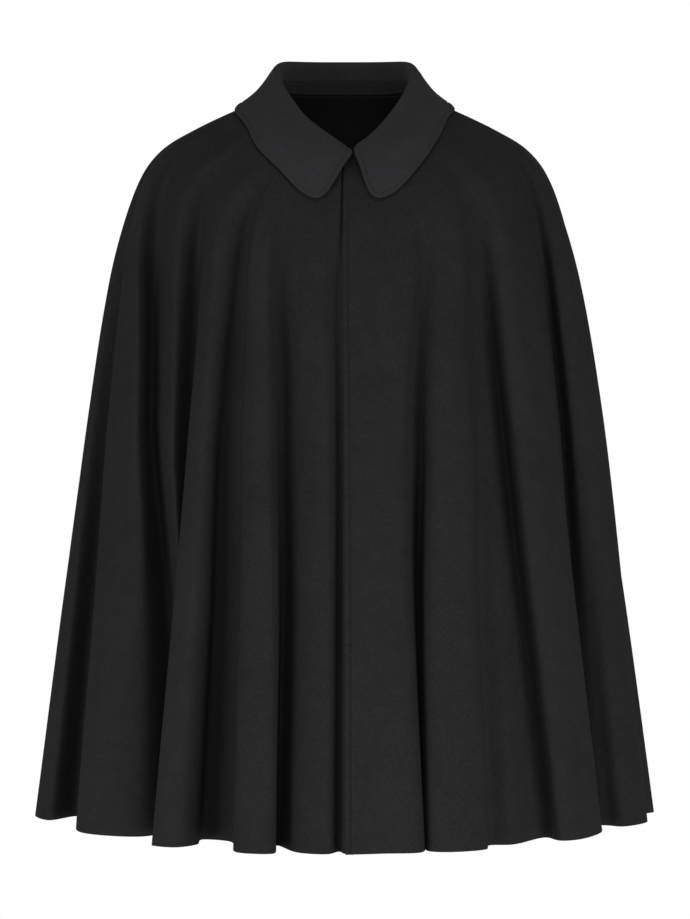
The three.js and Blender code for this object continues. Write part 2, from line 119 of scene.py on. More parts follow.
def camera_glow(nodes, links, strength_socket):
    """Full strength for what the camera sees, and a dim glow for every other ray."""
    path = nodes.new("ShaderNodeLightPath")
    strength = nodes.new("ShaderNodeMapRange")
    strength.inputs["To Min"].default_value = SWEEP_GLOW
    strength.inputs["To Max"].default_value = 1.0
    links.new(path.outputs["Is Camera Ray"], strength.inputs["Value"])
    links.new(strength.outputs["Result"], strength_socket)


def white_sweep():
    corners = [
        (-SWEEP_HALF_WIDTH, SWEEP_FRONT, FLOOR_Z),
        (SWEEP_HALF_WIDTH, SWEEP_FRONT, FLOOR_Z),
        (SWEEP_HALF_WIDTH, SWEEP_BACK, FLOOR_Z),
        (-SWEEP_HALF_WIDTH, SWEEP_BACK, FLOOR_Z),
        (SWEEP_HALF_WIDTH, SWEEP_BACK, SWEEP_TOP),
        (-SWEEP_HALF_WIDTH, SWEEP_BACK, SWEEP_TOP),
    ]
    mesh = bpy.data.meshes.new("white sweep")
    mesh.from_pydata(corners, [], [(0, 1, 2, 3), (3, 2, 4, 5)])
    material = bpy.data.materials.new("white sweep")
    material.use_nodes = True
    nodes, links = material.node_tree.nodes, material.node_tree.links
    nodes.clear()
    glow = nodes.new("ShaderNodeEmission")
    output = nodes.new("ShaderNodeOutputMaterial")
    camera_glow(nodes, links, glow.inputs["Strength"])
    links.new(glow.outputs["Emission"], output.inputs["Surface"])
    mesh.materials.append(material)
    sweep = bpy.data.objects.new("white sweep", mesh)
    bpy.context.collection.objects.link(sweep)


white_sweep()
world = bpy.data.worlds.new("studio")
world.use_nodes = True
background = world.node_tree.nodes["Background"]
background.inputs["Color"].default_value = (1, 1, 1, 1)
camera_glow(world.node_tree.nodes, world.node_tree.links, background.inputs["Strength"])
scene.world = world
print("floor at", FLOOR_Z)

# %% [markdown]
# A shader is arithmetic on sockets. This small class lets it be written as Python expressions: an
# operator between two values adds the Math node that works it out, and `node` adds any other node.


# %% Shader helpers
class Value:
    """A number that a node gives, with arithmetic that adds Math nodes."""

    def __init__(self, shader, socket):
        self.shader = shader
        self.socket = socket

    def math(self, operation, *others, flipped=False):
        values = (*others, self) if flipped else (self, *others)
        return self.shader.node("ShaderNodeMath", {"operation": operation}, dict(enumerate(values)))

    def __add__(self, other):
        return self.math("ADD", other)

    def __radd__(self, other):
        return self.math("ADD", other, flipped=True)

    def __sub__(self, other):
        return self.math("SUBTRACT", other)

    def __rsub__(self, other):
        return self.math("SUBTRACT", other, flipped=True)

    def __mul__(self, other):
        return self.math("MULTIPLY", other)

    def __truediv__(self, other):
        return self.math("DIVIDE", other)

    def __rpow__(self, other):
        return self.math("POWER", other, flipped=True)


class Shader:
    """A material's nodes, added one at a time."""

    def __init__(self, name):
        self.material = bpy.data.materials.new(name)
        self.material.use_nodes = True
        self.tree = self.material.node_tree
        self.surface = self.tree.nodes["Principled BSDF"]

    def plug(self, node, key, value):
        socket = node.inputs[key]
        if isinstance(value, Value):
            self.tree.links.new(value.socket, socket)
        else:
            socket.default_value = value

    def node(self, kind, settings=None, inputs=None, output=0):
        node = self.tree.nodes.new(kind)
        for key, value in (settings or {}).items():
            setattr(node, key, value)
        for key, value in (inputs or {}).items():
            self.plug(node, key, value)
        return Value(self, node.outputs[output])

    def noise(self, place, scale, detail, roughness):
        inputs = {"Vector": place, "Scale": scale, "Detail": detail, "Roughness": roughness}
        return self.node("ShaderNodeTexNoise", {}, inputs, "Fac")

    def attribute(self, name):
        return self.node("ShaderNodeAttribute", {"attribute_name": name}, {}, "Fac")

    def smooth_step(self, value, low, high):
        inputs = {"Value": value, "From Min": low, "From Max": high}
        settings = {"interpolation_type": "SMOOTHSTEP"}
        return self.node("ShaderNodeMapRange", settings, inputs, "Result")

    def mix_colour(self, share, first, second):
        """A mix of two colours, which are inputs 6 and 7 of a Mix node, and its output 2."""
        settings = {"data_type": "RGBA"}
        return self.node("ShaderNodeMix", settings, {0: share, 6: first, 7: second}, 2)

    def finish(self, **inputs):
        for key, value in inputs.items():
            self.plug(self.surface, key.replace("_", " "), value)
        return self.material


# %% [markdown]
# Coat wool is woven, then felted and brushed, so its surface is a short soft nap with no thread
# showing. Noises stand for it: wide clouds and small patches where the nap lies another way, a
# mottle, a fine fleck, and a fuzz that only the bump sees. Each has a scale, a detail and a
# roughness, and the shade adds a share of all but the fuzz. A little sheen gives the pale rim that
# nap shows edge on.
# Every piece of cloth carries an attribute that holds the distance to its stitch line, a metre
# where it has none, so the same material can press a shallow groove along the stitching.

# %% Wool
WOOL_DARK = (0.0108, 0.0106, 0.0113, 1)
WOOL_PALE = (0.0222, 0.0216, 0.0229, 1)
# The collar's two shades are paler than the body wool's. That is painted light: the upturned collar
# catches more light from above, and the paler colour stands in for it.
COLLAR_PAINTED_LIGHT_DARK = (0.0185, 0.0180, 0.0194, 1)
COLLAR_PAINTED_LIGHT_PALE = (0.0315, 0.0305, 0.0325, 1)
WOOL_SHEEN = 0.012
COLLAR_SHEEN = 0.02
SHEEN_TINT = (0.75, 0.74, 0.8, 1)
SHEEN_ROUGHNESS = 0.42
WOOL_SPECULAR = 0.03
WOOL_ROUGHNESS = 0.86
ROUGHNESS_SPREAD = 0.1
CLOUDS = (9, 3, 0.5)
PATCHES = (60, 3, 0.6)
MOTTLE = (210, 3, 0.7)
FLECK = (420, 3, 0.65)
FUZZ = (1100, 2, 0.6)
CLOUD_SHARE = 0.2
PATCH_SHARE = 0.2
MOTTLE_SHARE = 0.1
FLECK_SHARE = 0.5
SHADE_SPAN = (0.2, 0.8)
FLECK_HEIGHT = 0.35 * MM
FUZZ_HEIGHT = 0.2 * MM
NAP_STRENGTH = 0.55
STITCH_GROOVE_WIDTH = 1.6 * MM
STITCH_GROOVE_DEPTH = 0.8 * MM


def wool_material(name, dark, pale, sheen):
    """Felted wool between two shades, with a nap that only bumps and a groove at the stitches."""
    shader = Shader(name)
    place = shader.node("ShaderNodeTexCoord", {}, {}, "Object")
    clouds = shader.noise(place, *CLOUDS)
    fleck = shader.noise(place, *FLECK)
    fuzz = shader.noise(place, *FUZZ)
    patches = shader.noise(place, *PATCHES)
    mottle = shader.noise(place, *MOTTLE)
    shade = clouds * CLOUD_SHARE + fleck * FLECK_SHARE
    shade = shade + patches * PATCH_SHARE + mottle * MOTTLE_SHARE
    colour = shader.mix_colour(shader.smooth_step(shade, *SHADE_SPAN), dark, pale)
    stitch = shader.attribute("stitch_distance") / STITCH_GROOVE_WIDTH
    groove = math.e ** (0 - stitch * stitch)
    height = fleck * FLECK_HEIGHT + fuzz * FUZZ_HEIGHT - groove * STITCH_GROOVE_DEPTH
    relief = {"Height": height, "Distance": 1.0, "Strength": NAP_STRENGTH}
    bump = shader.node("ShaderNodeBump", {}, relief, "Normal")
    rough = WOOL_ROUGHNESS + fleck * ROUGHNESS_SPREAD
    shader.surface.inputs["Sheen Weight"].default_value = sheen
    shader.surface.inputs["Sheen Roughness"].default_value = SHEEN_ROUGHNESS
    shader.surface.inputs["Sheen Tint"].default_value = SHEEN_TINT
    shader.surface.inputs["Specular IOR Level"].default_value = WOOL_SPECULAR
    return shader.finish(Base_Color=colour, Roughness=rough, Normal=bump)


WOOL = wool_material("felted wool", WOOL_DARK, WOOL_PALE, WOOL_SHEEN)
# The neck band takes the body wool's shades, darker than the collar's: painted shade for the shadow it
# lies in under the collar's roll.
BAND_PAINTED_SHADE_WOOL = wool_material("felted wool of the neck band, kept dark as painted shade", WOOL_DARK, WOOL_PALE, WOOL_SHEEN)
# The collar's paler wool is painted light for the light that falls on its upturned face.
COLLAR_PAINTED_LIGHT_WOOL = wool_material("felted wool of the collar, paler as painted light", COLLAR_PAINTED_LIGHT_DARK, COLLAR_PAINTED_LIGHT_PALE, COLLAR_SHEEN)
for material in (WOOL, BAND_PAINTED_SHADE_WOOL, COLLAR_PAINTED_LIGHT_WOOL):
    print(material.name, len(material.node_tree.nodes), "nodes")

# %% [markdown]
# The sewing thread is a little paler than the wool, and the bar tack's thread is nearly black. One
# noise varies both along the stitches, as the twist of a thread does.

# %% Thread
THREAD_DARK = (0.024, 0.0235, 0.025, 1)
THREAD_PALE = (0.043, 0.042, 0.045, 1)
TACK_DARK = (0.003, 0.003, 0.003, 1)
TACK_PALE = (0.007, 0.007, 0.0075, 1)
TWIST = (1500, 1, 0.5)
THREAD_SPECULAR = 0.15
THREAD_ROUGHNESS = 0.6


def thread_material(name, dark, pale):
    shader = Shader(name)
    place = shader.node("ShaderNodeTexCoord", {}, {}, "Object")
    twist = shader.noise(place, *TWIST)
    shader.surface.inputs["Specular IOR Level"].default_value = THREAD_SPECULAR
    colour = shader.mix_colour(twist, dark, pale)
    rough = THREAD_ROUGHNESS + twist * ROUGHNESS_SPREAD
    return shader.finish(Base_Color=colour, Roughness=rough)


THREAD = thread_material("sewing thread", THREAD_DARK, THREAD_PALE)
TACK_THREAD = thread_material("bar tack thread", TACK_DARK, TACK_PALE)
for material in (THREAD, TACK_THREAD):
    print(material.name, len(material.node_tree.nodes), "nodes")

# %% [markdown]
# The form under the folds is a stack of rings, a row for each station from the neck seam to the
# hem. Each row gives the half width and height at the sides, and the depth and height at the
# front and the back, in millimetres, and how square the ring is. The solids were built from the
# same sizes. The folds are given at three of these rows: the yoke, the waist and the hem.

# %% Form
HEM_Z = -820
STATION_KEYS = ("side", "side_z", "front", "front_z", "back", "back_z", "square")
STATIONS = {
    "neck": (72, 2, 77, -87, 66, 7, 2.0),
    "collar edge": (117, -17, 97, -123, 90, -15, 2.0),
    "shoulder": (168, -41, 115, -158, 110, -46, 2.0),
    "shoulder point": (207, -65, 128, -190, 124, -82, 2.0),
    "upper arm": (232, -99, 138, -222, 134, -124, 2.0),
    "chest": (253, -160, 148, -272, 146, -186, 1.95),
    "rib": (270, -238, 159, -335, 159, -262, 1.9),
    "elbow": (291, -370, 176, -425, 178, -385, 1.84),
    "hip": (318, -560, 201, -575, 204, -562, 1.75),
    "hem": (352, HEM_Z, 240, HEM_Z, 240, HEM_Z, 1.65),
}
STATION_TABLE = np.array(list(STATIONS.values()), float)
YOKE = 4
WAIST = 7
HEM = 9
HEIGHT_EASE = 1.6


def between(table, place):
    """Smooth values between the rows of a table, at places counted in rows."""
    place = np.asarray(place, float)
    last = len(table) - 1
    row = np.minimum(np.floor(place).astype(int), last - 1)
    share = (place - row)[..., None]
    a = table[np.maximum(row - 1, 0)]
    b = table[row]
    c = table[row + 1]
    d = table[np.minimum(row + 2, last)]
    bend = 2 * b + (c - a) * share + (2 * a - 5 * b + 4 * c - d) * share**2
    return (bend + (3 * b - a - 3 * c + d) * share**3) / 2


def form_point(bearing, station):
    """Radius and height of the form at bearings in degrees and stations."""
    angle = np.radians(bearing)
    across, ahead = np.sin(angle), np.cos(angle)
    side, side_z, front, front_z, back, back_z, square = np.moveaxis(
        between(STATION_TABLE, station), -1, 0
    )
    depth = np.where(ahead > 0, front, back)
    depth_z = np.where(ahead > 0, front_z, back_z)
    total = np.abs(across / side) ** square + np.abs(ahead / depth) ** square
    z = side_z + (depth_z - side_z) * np.abs(ahead) ** HEIGHT_EASE
    return total ** (-1 / square), z


def polar(radius, bearing, z):
    angle = np.radians(bearing)
    return np.stack([radius * np.sin(angle), -radius * np.cos(angle), z + 0 * angle], axis=-1)


print("form:", len(STATIONS), "stations of", STATION_KEYS)

# %% [markdown]
# A cloak hangs in folds that start at the shoulders and deepen towards the hem. Each row here is a
# crest, an edge or a trough: its bearing round the body, and how far it stands out from the form,
# at the yoke, at the waist and at the hem. A spline round each ring goes through all of them, and
# where a bearing steps back the cloth folds over itself, as the deep pleats in front do.

# %% Folds
FOLD_KEYS = ("yoke at", "yoke out", "waist at", "waist out", "hem at", "hem out")
FOLDS = {
    "front edge": (-1.2, 0, -0.2, 0, 0.1, -1),
    "chest flat": (12, 1, 10, 1.5, 9.8, -4),
    "chest fold edge": (28.5, 2, 19.5, 0.4, 19.4, -3),
    "chest trough": (34.4, -5, 29.9, -25, 27, -62.5),
    "long fold edge": (37.4, 0.4, 28.9, 0.6, 21.8, -7.9),
    "long fold": (42.2, 2.5, 31.6, 8, 26.2, 4),
    "long fold side": (46.8, 0.6, 40.6, 3, 35.4, 2),
    "wide trough": (52.2, -10, 49.2, -24.8, 40.2, -20),
    "wide trough floor": (53.6, -11, 53.6, -27, 45, -13),
    "arm trough": (55.1, -9, 59.3, -34, 58.8, -34),
    "arm fold edge": (56.7, 1.6, 54.5, -0.7, 56.6, -7.1),
    "arm fold": (58.6, 6, 57.8, 7.1, 60.3, -0.8),
    "arm fold side": (65.6, -0.5, 66.2, -3, 73, -25),
    "shoulder trough": (75, -11, 78.3, -30.7, 80, -62),
    "shoulder fold edge": (75.6, -1, 74.2, -9, 80.4, -42),
    "shoulder fold": (77.8, 6, 75.8, 1.4, 79.5, -22.8),
    "left seam": (81.5, 2, 85, 3, 86.6, -9),
    "side trough": (86, -3, 90, -10, 92, -30),
    "left side fold": (92, 0, 96.5, 4, 98.3, 20),
    "back trough 1": (103, -3, 106, -16, 107, -40),
    "back fold 1": (111, 2, 114, 3, 117, 8),
    "back trough 2": (120, -2, 122, -13, 125, -30),
    "back fold 2": (128, 2, 131, 5, 134, 6),
    "back trough 3": (138, -3, 139, -17, 142, -44),
    "back fold 3": (146, 2, 148, 6, 151, 8),
    "back trough 4": (156, -2, 158, -11, 160, -28),
    "back fold 4": (166, 1, 167, 3, 168, 3),
    "back trough 5": (177, -2, 177, -16, 177, -42),
    "back fold 5": (188, 2, 187, 5, 186, 6),
    "back trough 6": (198, -2, 197, -12, 196, -30),
    "back fold 6": (208, 2, 206, 4, 205, 4),
    "back trough 7": (218, -3, 215, -18, 213, -46),
    "back fold 7": (227, 2, 224, 6, 222, 8),
    "back trough 8": (236, -2, 233, -12, 231, -30),
    "back fold 8": (244, 2, 242, 4, 240, 4),
    "back trough 9": (253, -2, 252, -15, 251, -36),
    "right side fold": (263, 0, 264, 3, 265, 8),
    "right side face": (270, 0, 275, -3, 272.3, -18),
    "right side trough": (275, -6, 273.9, -26.2, 267, -44),
    "right seam": (279.8, 2, 282.9, -5.5, 286.8, -14.6),
    "arm side face": (281.5, 4.5, 290, 1.1, 292.5, -13.3),
    "arm side fold": (285.3, 8.7, 295, 1.6, 299.5, -35.7),
    "deep trough": (285.9, -10, 287.2, -42, 298, -84),
    "narrow ridge": (298.7, 6.5, 303.1, -7.9, 304.5, -62),
    "narrow trough": (300.1, -12.5, 300, -39.9, 308.5, -34),
    "breast fold edge": (307, 1.1, 309.9, 2.1, 311.4, 3.8),
    "breast fold": (311.6, 8.1, 315.5, 10.6, 317.4, 4),
    "breast fold side": (313.6, 3, 316.4, 1.6, 318.4, -22),
    "breast trough": (315.2, -13, 313.3, -28, 313.4, -55),
    "breast trough side": (317.6, -12, 320.7, -21.1, 322, -55),
    "post fold edge": (321.3, 1.9, 326, 1.3, 333.1, 5),
    "post fold": (325.8, 4.5, 331.6, 9, 338, 9.5),
    "post fold side": (328.2, 2, 335.3, 4.9, 342.3, 3),
    "post trough": (330.3, -10, 334.5, -27.7, 338.6, -46),
    "middle fold edge": (338.3, -0.9, 345.3, -6, 348, -8.4),
    "middle fold": (350.5, 0.8, 354.2, 1.6, 355.6, -3.6),
    "dip at the edge": (356.5, -6, 358, -12, 358.4, -20),
}
FOLD_NAMES = list(FOLDS)
FOLD_TABLE = np.array(list(FOLDS.values()), float)
SAME_POINT = 1e-4


def fold_values(station):
    """Every fold's bearing and depth at one station; folds die away under the collar."""
    knots = [0, 1, YOKE, WAIST, HEM]
    bearings = np.stack([FOLD_TABLE[:, k] for k in (0, 0, 0, 2, 4)])
    depths = np.stack([FOLD_TABLE[:, k] for k in (1, 1, 1, 3, 5)])
    depths[:2] = 0
    row = min(int(np.searchsorted(knots, station, side="right")) - 1, len(knots) - 2)
    place = row + (station - knots[row]) / (knots[row + 1] - knots[row])
    return between(bearings, place), between(depths, place)


def spline(points, places):
    """A centripetal spline through points, at places counted in points."""
    points = np.asarray(points, float)
    first = 2 * points[0] - points[1]
    last = 2 * points[-1] - points[-2]
    padded = np.vstack([first, points, last])
    row = np.minimum(np.floor(places).astype(int), len(points) - 2)
    share = (places - row)[:, None]
    p0, p1, p2, p3 = (padded[row + k] for k in range(4))
    d0, d1, d2 = (
        np.sqrt(np.linalg.norm(b - a, axis=1))[:, None] for a, b in ((p0, p1), (p1, p2), (p2, p3))
    )
    d0 = np.where(d0 < SAME_POINT, d1, d0)
    d2 = np.where(d2 < SAME_POINT, d1, d2)
    t1 = ((p1 - p0) / d0 - (p2 - p0) / (d0 + d1) + (p2 - p1) / d1) * d1
    t2 = ((p2 - p1) / d1 - (p3 - p1) / (d1 + d2) + (p3 - p2) / d2) * d1
    curve = p1 + t1 * share + (3 * (p2 - p1) - 2 * t1 - t2) * share**2
    return curve + (2 * (p1 - p2) + t1 + t2) * share**3


print("folds:", len(FOLDS), "rows of", FOLD_KEYS)

# %% [markdown]
# One ring of cloth is a spline through all the folds at its station. At the front the ring doesn't
# close: the right front runs on under the left front's edge, one lap depth behind it, through
# four places that are given in millimetres along the cloth.

# %% Rings
LAP_DEPTH = 4.8
LAP_PLACES = (0.5, 14, 26, 38)
LAP_ROWS = 3
LAP_SAMPLES = 1200


def lap_points(points):
    """Where the right front runs on under the left front's edge."""
    curve = spline(points, np.linspace(0, LAP_ROWS, LAP_SAMPLES))
    run = np.concatenate([[0], np.cumsum(np.linalg.norm(np.diff(curve, axis=0), axis=1))])
    laps = curve[np.searchsorted(run, LAP_PLACES)]
    radius = np.hypot(laps[:, 0], laps[:, 1])
    laps[:, :2] *= (1 - LAP_DEPTH / radius)[:, None]
    return laps


def cloth_ring(station, places):
    """One ring of the cloth at a station, at places counted in rows of the fold table."""
    bearings, depths = fold_values(station)
    radius, z = form_point(bearings, np.full(len(bearings), float(station)))
    points = polar(radius + depths, bearings, z)
    return spline(np.vstack([points, lap_points(points)]), places)


print("hem ring:", cloth_ring(HEM, np.arange(3.0)).round(1).tolist())

# %% [markdown]
# The cloth is laid out as one fine grid and then cut into its three panels at the side seams, so
# their edges run side by side, 0.3 mm apart. Columns follow the folds, so none of them cuts across
# a crest. The first two even columns give way to a dense set, which has room for the front edge's
# stitched border.

# %% Grid
COLUMNS_PER_ROW = 8
EDGE_WIDTH_IN_ROWS = 0.21
EDGE_COLUMN_COUNT = 22
LEVELS_PER_STATION = 14
CLOTH = 2.4 * MM
SEAM_GAP = 0.3 * MM
LAST_PLACE = len(FOLDS) + len(LAP_PLACES) - 1
EVEN_COLUMNS = np.linspace(0, LAST_PLACE, LAST_PLACE * COLUMNS_PER_ROW + 1)
EDGE_COLUMNS = np.linspace(0, EDGE_WIDTH_IN_ROWS, EDGE_COLUMN_COUNT)
PLACES = np.concatenate([EDGE_COLUMNS, EVEN_COLUMNS[2:]])


def cloth_grid():
    """All rings from the neck seam to the hem, in metres."""
    stations = np.linspace(0, HEM, HEM * LEVELS_PER_STATION + 1)
    return np.stack([cloth_ring(s, PLACES) for s in stations]) * MM


def cut_panel(grid, start, end):
    """The columns between two rows of the fold table, held a little short of the seams."""
    first = np.searchsorted(PLACES, FOLD_NAMES.index(start))
    last = np.searchsorted(PLACES, FOLD_NAMES.index(end) if end else LAST_PLACE)
    panel = grid[:, first : last + 1].copy()
    for side, inner in ((0, 1), (-1, -2)):
        step = panel[:, inner] - panel[:, side]
        step /= np.linalg.norm(step, axis=1, keepdims=True)
        panel[:, side] += step * SEAM_GAP / 2
    return panel


def arc_lengths(grid, axis):
    """How far each point lies along the cloth from the start of its row or column."""
    steps = np.linalg.norm(np.diff(grid, axis=axis), axis=2)
    run = np.cumsum(steps, axis=axis)
    zero = np.zeros_like(np.take(run, [0], axis=axis))
    return np.concatenate([zero, run], axis=axis)


def outward_normals(grid):
    """The direction that faces away from the wearer at every point of a grid."""
    across = np.gradient(grid, axis=1)
    along = np.gradient(grid, axis=0)
    normals = np.cross(along, across)
    return normals / np.linalg.norm(normals, axis=2, keepdims=True)


grid = cloth_grid()
print("grid:", grid.shape[0], "levels of", grid.shape[1], "columns")

# %% [markdown]
# A sewn edge is turned in, so its border is plump, and the stitches pull a groove along it. The
# attribute that every sheet gets is the distance to that groove, for the wool material to read.
# The wall and its soft edges come from two modifiers, and the result is kept as a plain mesh.

# %% Sheets
FAR = 1.0
EDGE_PLUMPNESS = 0.5 * MM
GROOVE_DEPTH = 0.9 * MM
GROOVE_HALF_WIDTH = 0.9 * MM
SOFT_EDGE = 0.8 * MM
SHARP_ANGLE = math.radians(62)


def stitched_edge(grid, distance, width):
    """An edge that is turned and sewn: a plump border, and a groove where the stitches pull."""
    border = np.clip(distance / width, 0, 1)
    plump = np.sin(border * math.pi) * EDGE_PLUMPNESS * (distance < width)
    groove = np.exp(-(((distance - width) / GROOVE_HALF_WIDTH) ** 2)) * GROOVE_DEPTH
    return grid + outward_normals(grid) * (plump - groove)[..., None]


def make_sheet(name, grid, material, stitch_distance):
    """A mesh on a grid of points, with its cloth lengths as UV and a distance to its stitching."""
    rows, columns = grid.shape[:2]
    index = np.arange(rows * columns).reshape(rows, columns)
    faces = np.stack([index[:-1, :-1], index[1:, :-1], index[1:, 1:], index[:-1, 1:]], axis=-1)
    mesh = bpy.data.meshes.new(name)
    mesh.from_pydata(grid.reshape(-1, 3).tolist(), [], faces.reshape(-1, 4).tolist())
    mesh.polygons.foreach_set("use_smooth", np.ones(len(mesh.polygons), bool))
    cloth = np.stack([arc_lengths(grid, 1), arc_lengths(grid, 0)], axis=-1).reshape(-1, 2)
    corners = np.array([loop.vertex_index for loop in mesh.loops])
    mesh.uv_layers.new(name="cloth").data.foreach_set("uv", cloth[corners].ravel())
    layer = mesh.attributes.new("stitch_distance", "FLOAT", "POINT")
    layer.data.foreach_set("value", stitch_distance.ravel().astype(float))
    mesh.materials.append(material)
    piece = bpy.data.objects.new(name, mesh)
    bpy.context.collection.objects.link(piece)
    return piece


def thicken(piece, softness=SOFT_EDGE):
    """Give a sheet its wall and soften the cut edges, then keep the result as a plain mesh."""
    wall = piece.modifiers.new("wall", "SOLIDIFY")
    wall.thickness = CLOTH
    wall.offset = -1
    edge = piece.modifiers.new("edge", "BEVEL")
    edge.width = softness
    edge.segments = 2
    edge.limit_method = "ANGLE"
    edge.angle_limit = SHARP_ANGLE
    depsgraph = bpy.context.evaluated_depsgraph_get()
    mesh = bpy.data.meshes.new_from_object(piece.evaluated_get(depsgraph))
    piece.modifiers.clear()
    piece.data = mesh
    mesh.name = piece.name


def area_of(piece):
    return sum(face.area for face in piece.data.polygons)


print("walls are", CLOTH, "m thick")

# %% [markdown]
# Three panels come out of the grid: the left front, whose edge is stitched, the back, and the
# right front with the part that lies under the left one. Their lengths are printed along the
# cloth, because those are the sizes that a cutter needs.

# %% Panels
PLACKET_STITCH = 5.8 * MM
left_grid = cut_panel(grid, "front edge", "left seam")
back_grid = cut_panel(grid, "left seam", "right seam")
right_grid = cut_panel(grid, "right seam", None)
from_edge = arc_lengths(left_grid, 1)
placket = np.abs(from_edge - PLACKET_STITCH)
left_grid = stitched_edge(left_grid, from_edge, PLACKET_STITCH)

pieces = {}
for name, panel, distance in (
    ("front_left", left_grid, placket),
    ("back", back_grid, np.full(back_grid.shape[:2], FAR)),
    ("front_right", right_grid, np.full(right_grid.shape[:2], FAR)),
):
    piece = make_sheet(name + "_cloth", panel, WOOL, distance)
    pieces[name] = piece
    print(name, "area", round(area_of(piece), 4), "hem", round(arc_lengths(panel, 1)[-1, -1], 3))
    print(name, "longest drop", round(arc_lengths(panel, 0)[-1].max(), 3))
    thicken(piece)

# %% [markdown]
# The collar is one cloth that rises from a low band round the neck, rolls over and lies on the
# shoulders. It is built rib by rib, from the right front tip round the back to the left one:
# each rib goes up from the band, over the roll and down to the collar's edge, and it is pushed
# out wherever it would touch the cloak.

# %% Collar table
COLLAR_KEYS = ("roll at", "roll radius", "roll z", "half", "edge at", "edge z", "belly")
COLLAR = {
    "right front end": (5.3, 80.5, -75, 3.6, -7.0, -110.5, 1),
    "right tip inner": (3, 80.5, -73, 3.6, -11, -125, 1),
    "right tip": (-2, 80.5, -68, 4, -16, -130.5, 2),
    "right tip outer": (-9, 80.3, -61, 4.6, -21.2, -127.5, 3),
    "right breast": (-20, 80, -50, 5, -27.6, -118.5, 4),
    "right chest": (-36, 78, -33, 5.4, -38, -98, 5),
    "right front shoulder": (-52, 77, -12, 5.6, -51, -74, 2.5),
    "right top shoulder": (-66, 77.5, 4, 5.8, -64, -46, 1),
    "right upper side": (-78, 78.5, 17, 5.8, -77, -27, -1),
    "right side": (-92, 79, 28.5, 6, -92, -13, -2),
    "right back shoulder": (-115, 78, 40.6, 6, -117, -12, -2),
    "right back": (-145, 76, 45.6, 6, -148, -15, -1),
    "middle back": (-180, 74, 47.4, 6, -180, -18, 0),
    "left back": (-215, 76, 45.6, 6, -212, -15, -1),
    "left back shoulder": (-245, 78, 40.6, 6, -243, -12, -2),
    "left side": (-268, 79, 29, 6, -268, -13, -2),
    "left upper side": (-282, 79.5, 17, 5.8, -281, -24, -1),
    "left top shoulder": (-293, 79.5, 6, 5.8, -291, -37, 1),
    "left front shoulder": (-306, 79, -11, 5.6, -303, -61, 2.5),
    "left chest": (-321, 79, -32, 5.4, -316.5, -91, 5),
    "left breast": (-334, 80, -50, 5, -327, -113.5, 4),
    "left tip outer": (-343, 80.3, -61, 4.6, -333.6, -124.8, 3),
    "left tip": (-349, 80.5, -67, 4, -341, -130.5, 2),
    "left tip inner": (-352, 80.5, -71, 3.6, -345.6, -124.5, 1),
    "left front end": (-353.2, 80.5, -74, 3.6, -347.4, -110, 1),
}
COLLAR_TABLE = np.array(list(COLLAR.values()), float)
print("collar:", len(COLLAR), "ribs of", COLLAR_KEYS)

# %% [markdown]
# The band is low in front and higher at the back, and the collar grows out of its top edge. Each
# rib is a spline through six points: the foot, the roll's inner side, its top, its outer side, the
# middle of the fall and the edge. Points that would touch the cloak move out to the collar's lift.

# %% Collar ribs
COLLAR_LIFT = 4.2
COLLAR_RIBS = 288
COLLAR_STEPS = 60
BAND_BACK_HEIGHT = 17
BAND_FRONT_HEIGHT = 3.6
BAND_EASE = 0.7
FOOT_GAP = 0.35
OUTLINE_STEPS = 160


def lifted_points(bearing):
    """The form's outline at a bearing, moved straight out by the collar's lift."""
    stations = np.linspace(0, YOKE, OUTLINE_STEPS + 1)
    radius, z = form_point(np.full(len(stations), bearing), stations)
    run, drop = np.gradient(radius), -np.gradient(z)
    length = np.hypot(run, drop)
    return radius + drop / length * COLLAR_LIFT, z + run / length * COLLAR_LIFT


def clear_radius(bearing, z):
    """How far out the collar has to lie at a bearing and height to clear the cloak."""
    radii, heights = lifted_points(bearing)
    return np.interp(-z, -heights, radii)


def band_height(bearing):
    """The band's height, lowest in front and highest at the back."""
    share = (1 - np.cos(np.radians(bearing))) / 2
    return BAND_FRONT_HEIGHT + (BAND_BACK_HEIGHT - BAND_FRONT_HEIGHT) * share**BAND_EASE


def band_face(rib, height):
    """Radius and height on the inner face of the neck band, some way up from the neck seam."""
    roll_at, roll_radius, roll_z, half = rib[:4]
    neck_radius, neck_z = form_point(roll_at, 0.0)
    inside = neck_radius - CLOTH / MM
    top = roll_radius - half
    share = height / (roll_z - half - neck_z)
    return inside + (top - inside) * share, neck_z + height


def collar_rib(rib):
    """The points of one rib, from the band's top edge over the roll to the collar's edge."""
    roll_at, roll_radius, roll_z, half, edge_at, edge_z, belly = rib
    foot_radius, foot_z = band_face(rib, band_height(roll_at) + FOOT_GAP)
    edge_radius = clear_radius(edge_at, edge_z)
    shoulder = roll_radius + half, roll_z - half
    middle = (shoulder[0] + edge_radius) / 2 + belly, (shoulder[1] + edge_z) / 2 + belly
    corners = [
        polar(foot_radius, roll_at, foot_z),
        polar(roll_radius - half, roll_at, roll_z - half),
        polar(roll_radius, roll_at, roll_z),
        polar(shoulder[0], roll_at, shoulder[1]),
        polar(middle[0], (roll_at + edge_at) / 2, middle[1]),
        polar(edge_radius, edge_at, edge_z),
    ]
    curve = spline(corners, np.linspace(0, len(corners) - 1, COLLAR_STEPS + 1))
    for i in range(COLLAR_STEPS // 2, COLLAR_STEPS + 1):
        bearing = math.degrees(math.atan2(curve[i, 0], -curve[i, 1]))
        clear = clear_radius(bearing, curve[i, 2])
        if math.hypot(curve[i, 0], curve[i, 1]) < clear:
            curve[i] = polar(clear, bearing, curve[i, 2])
    return curve


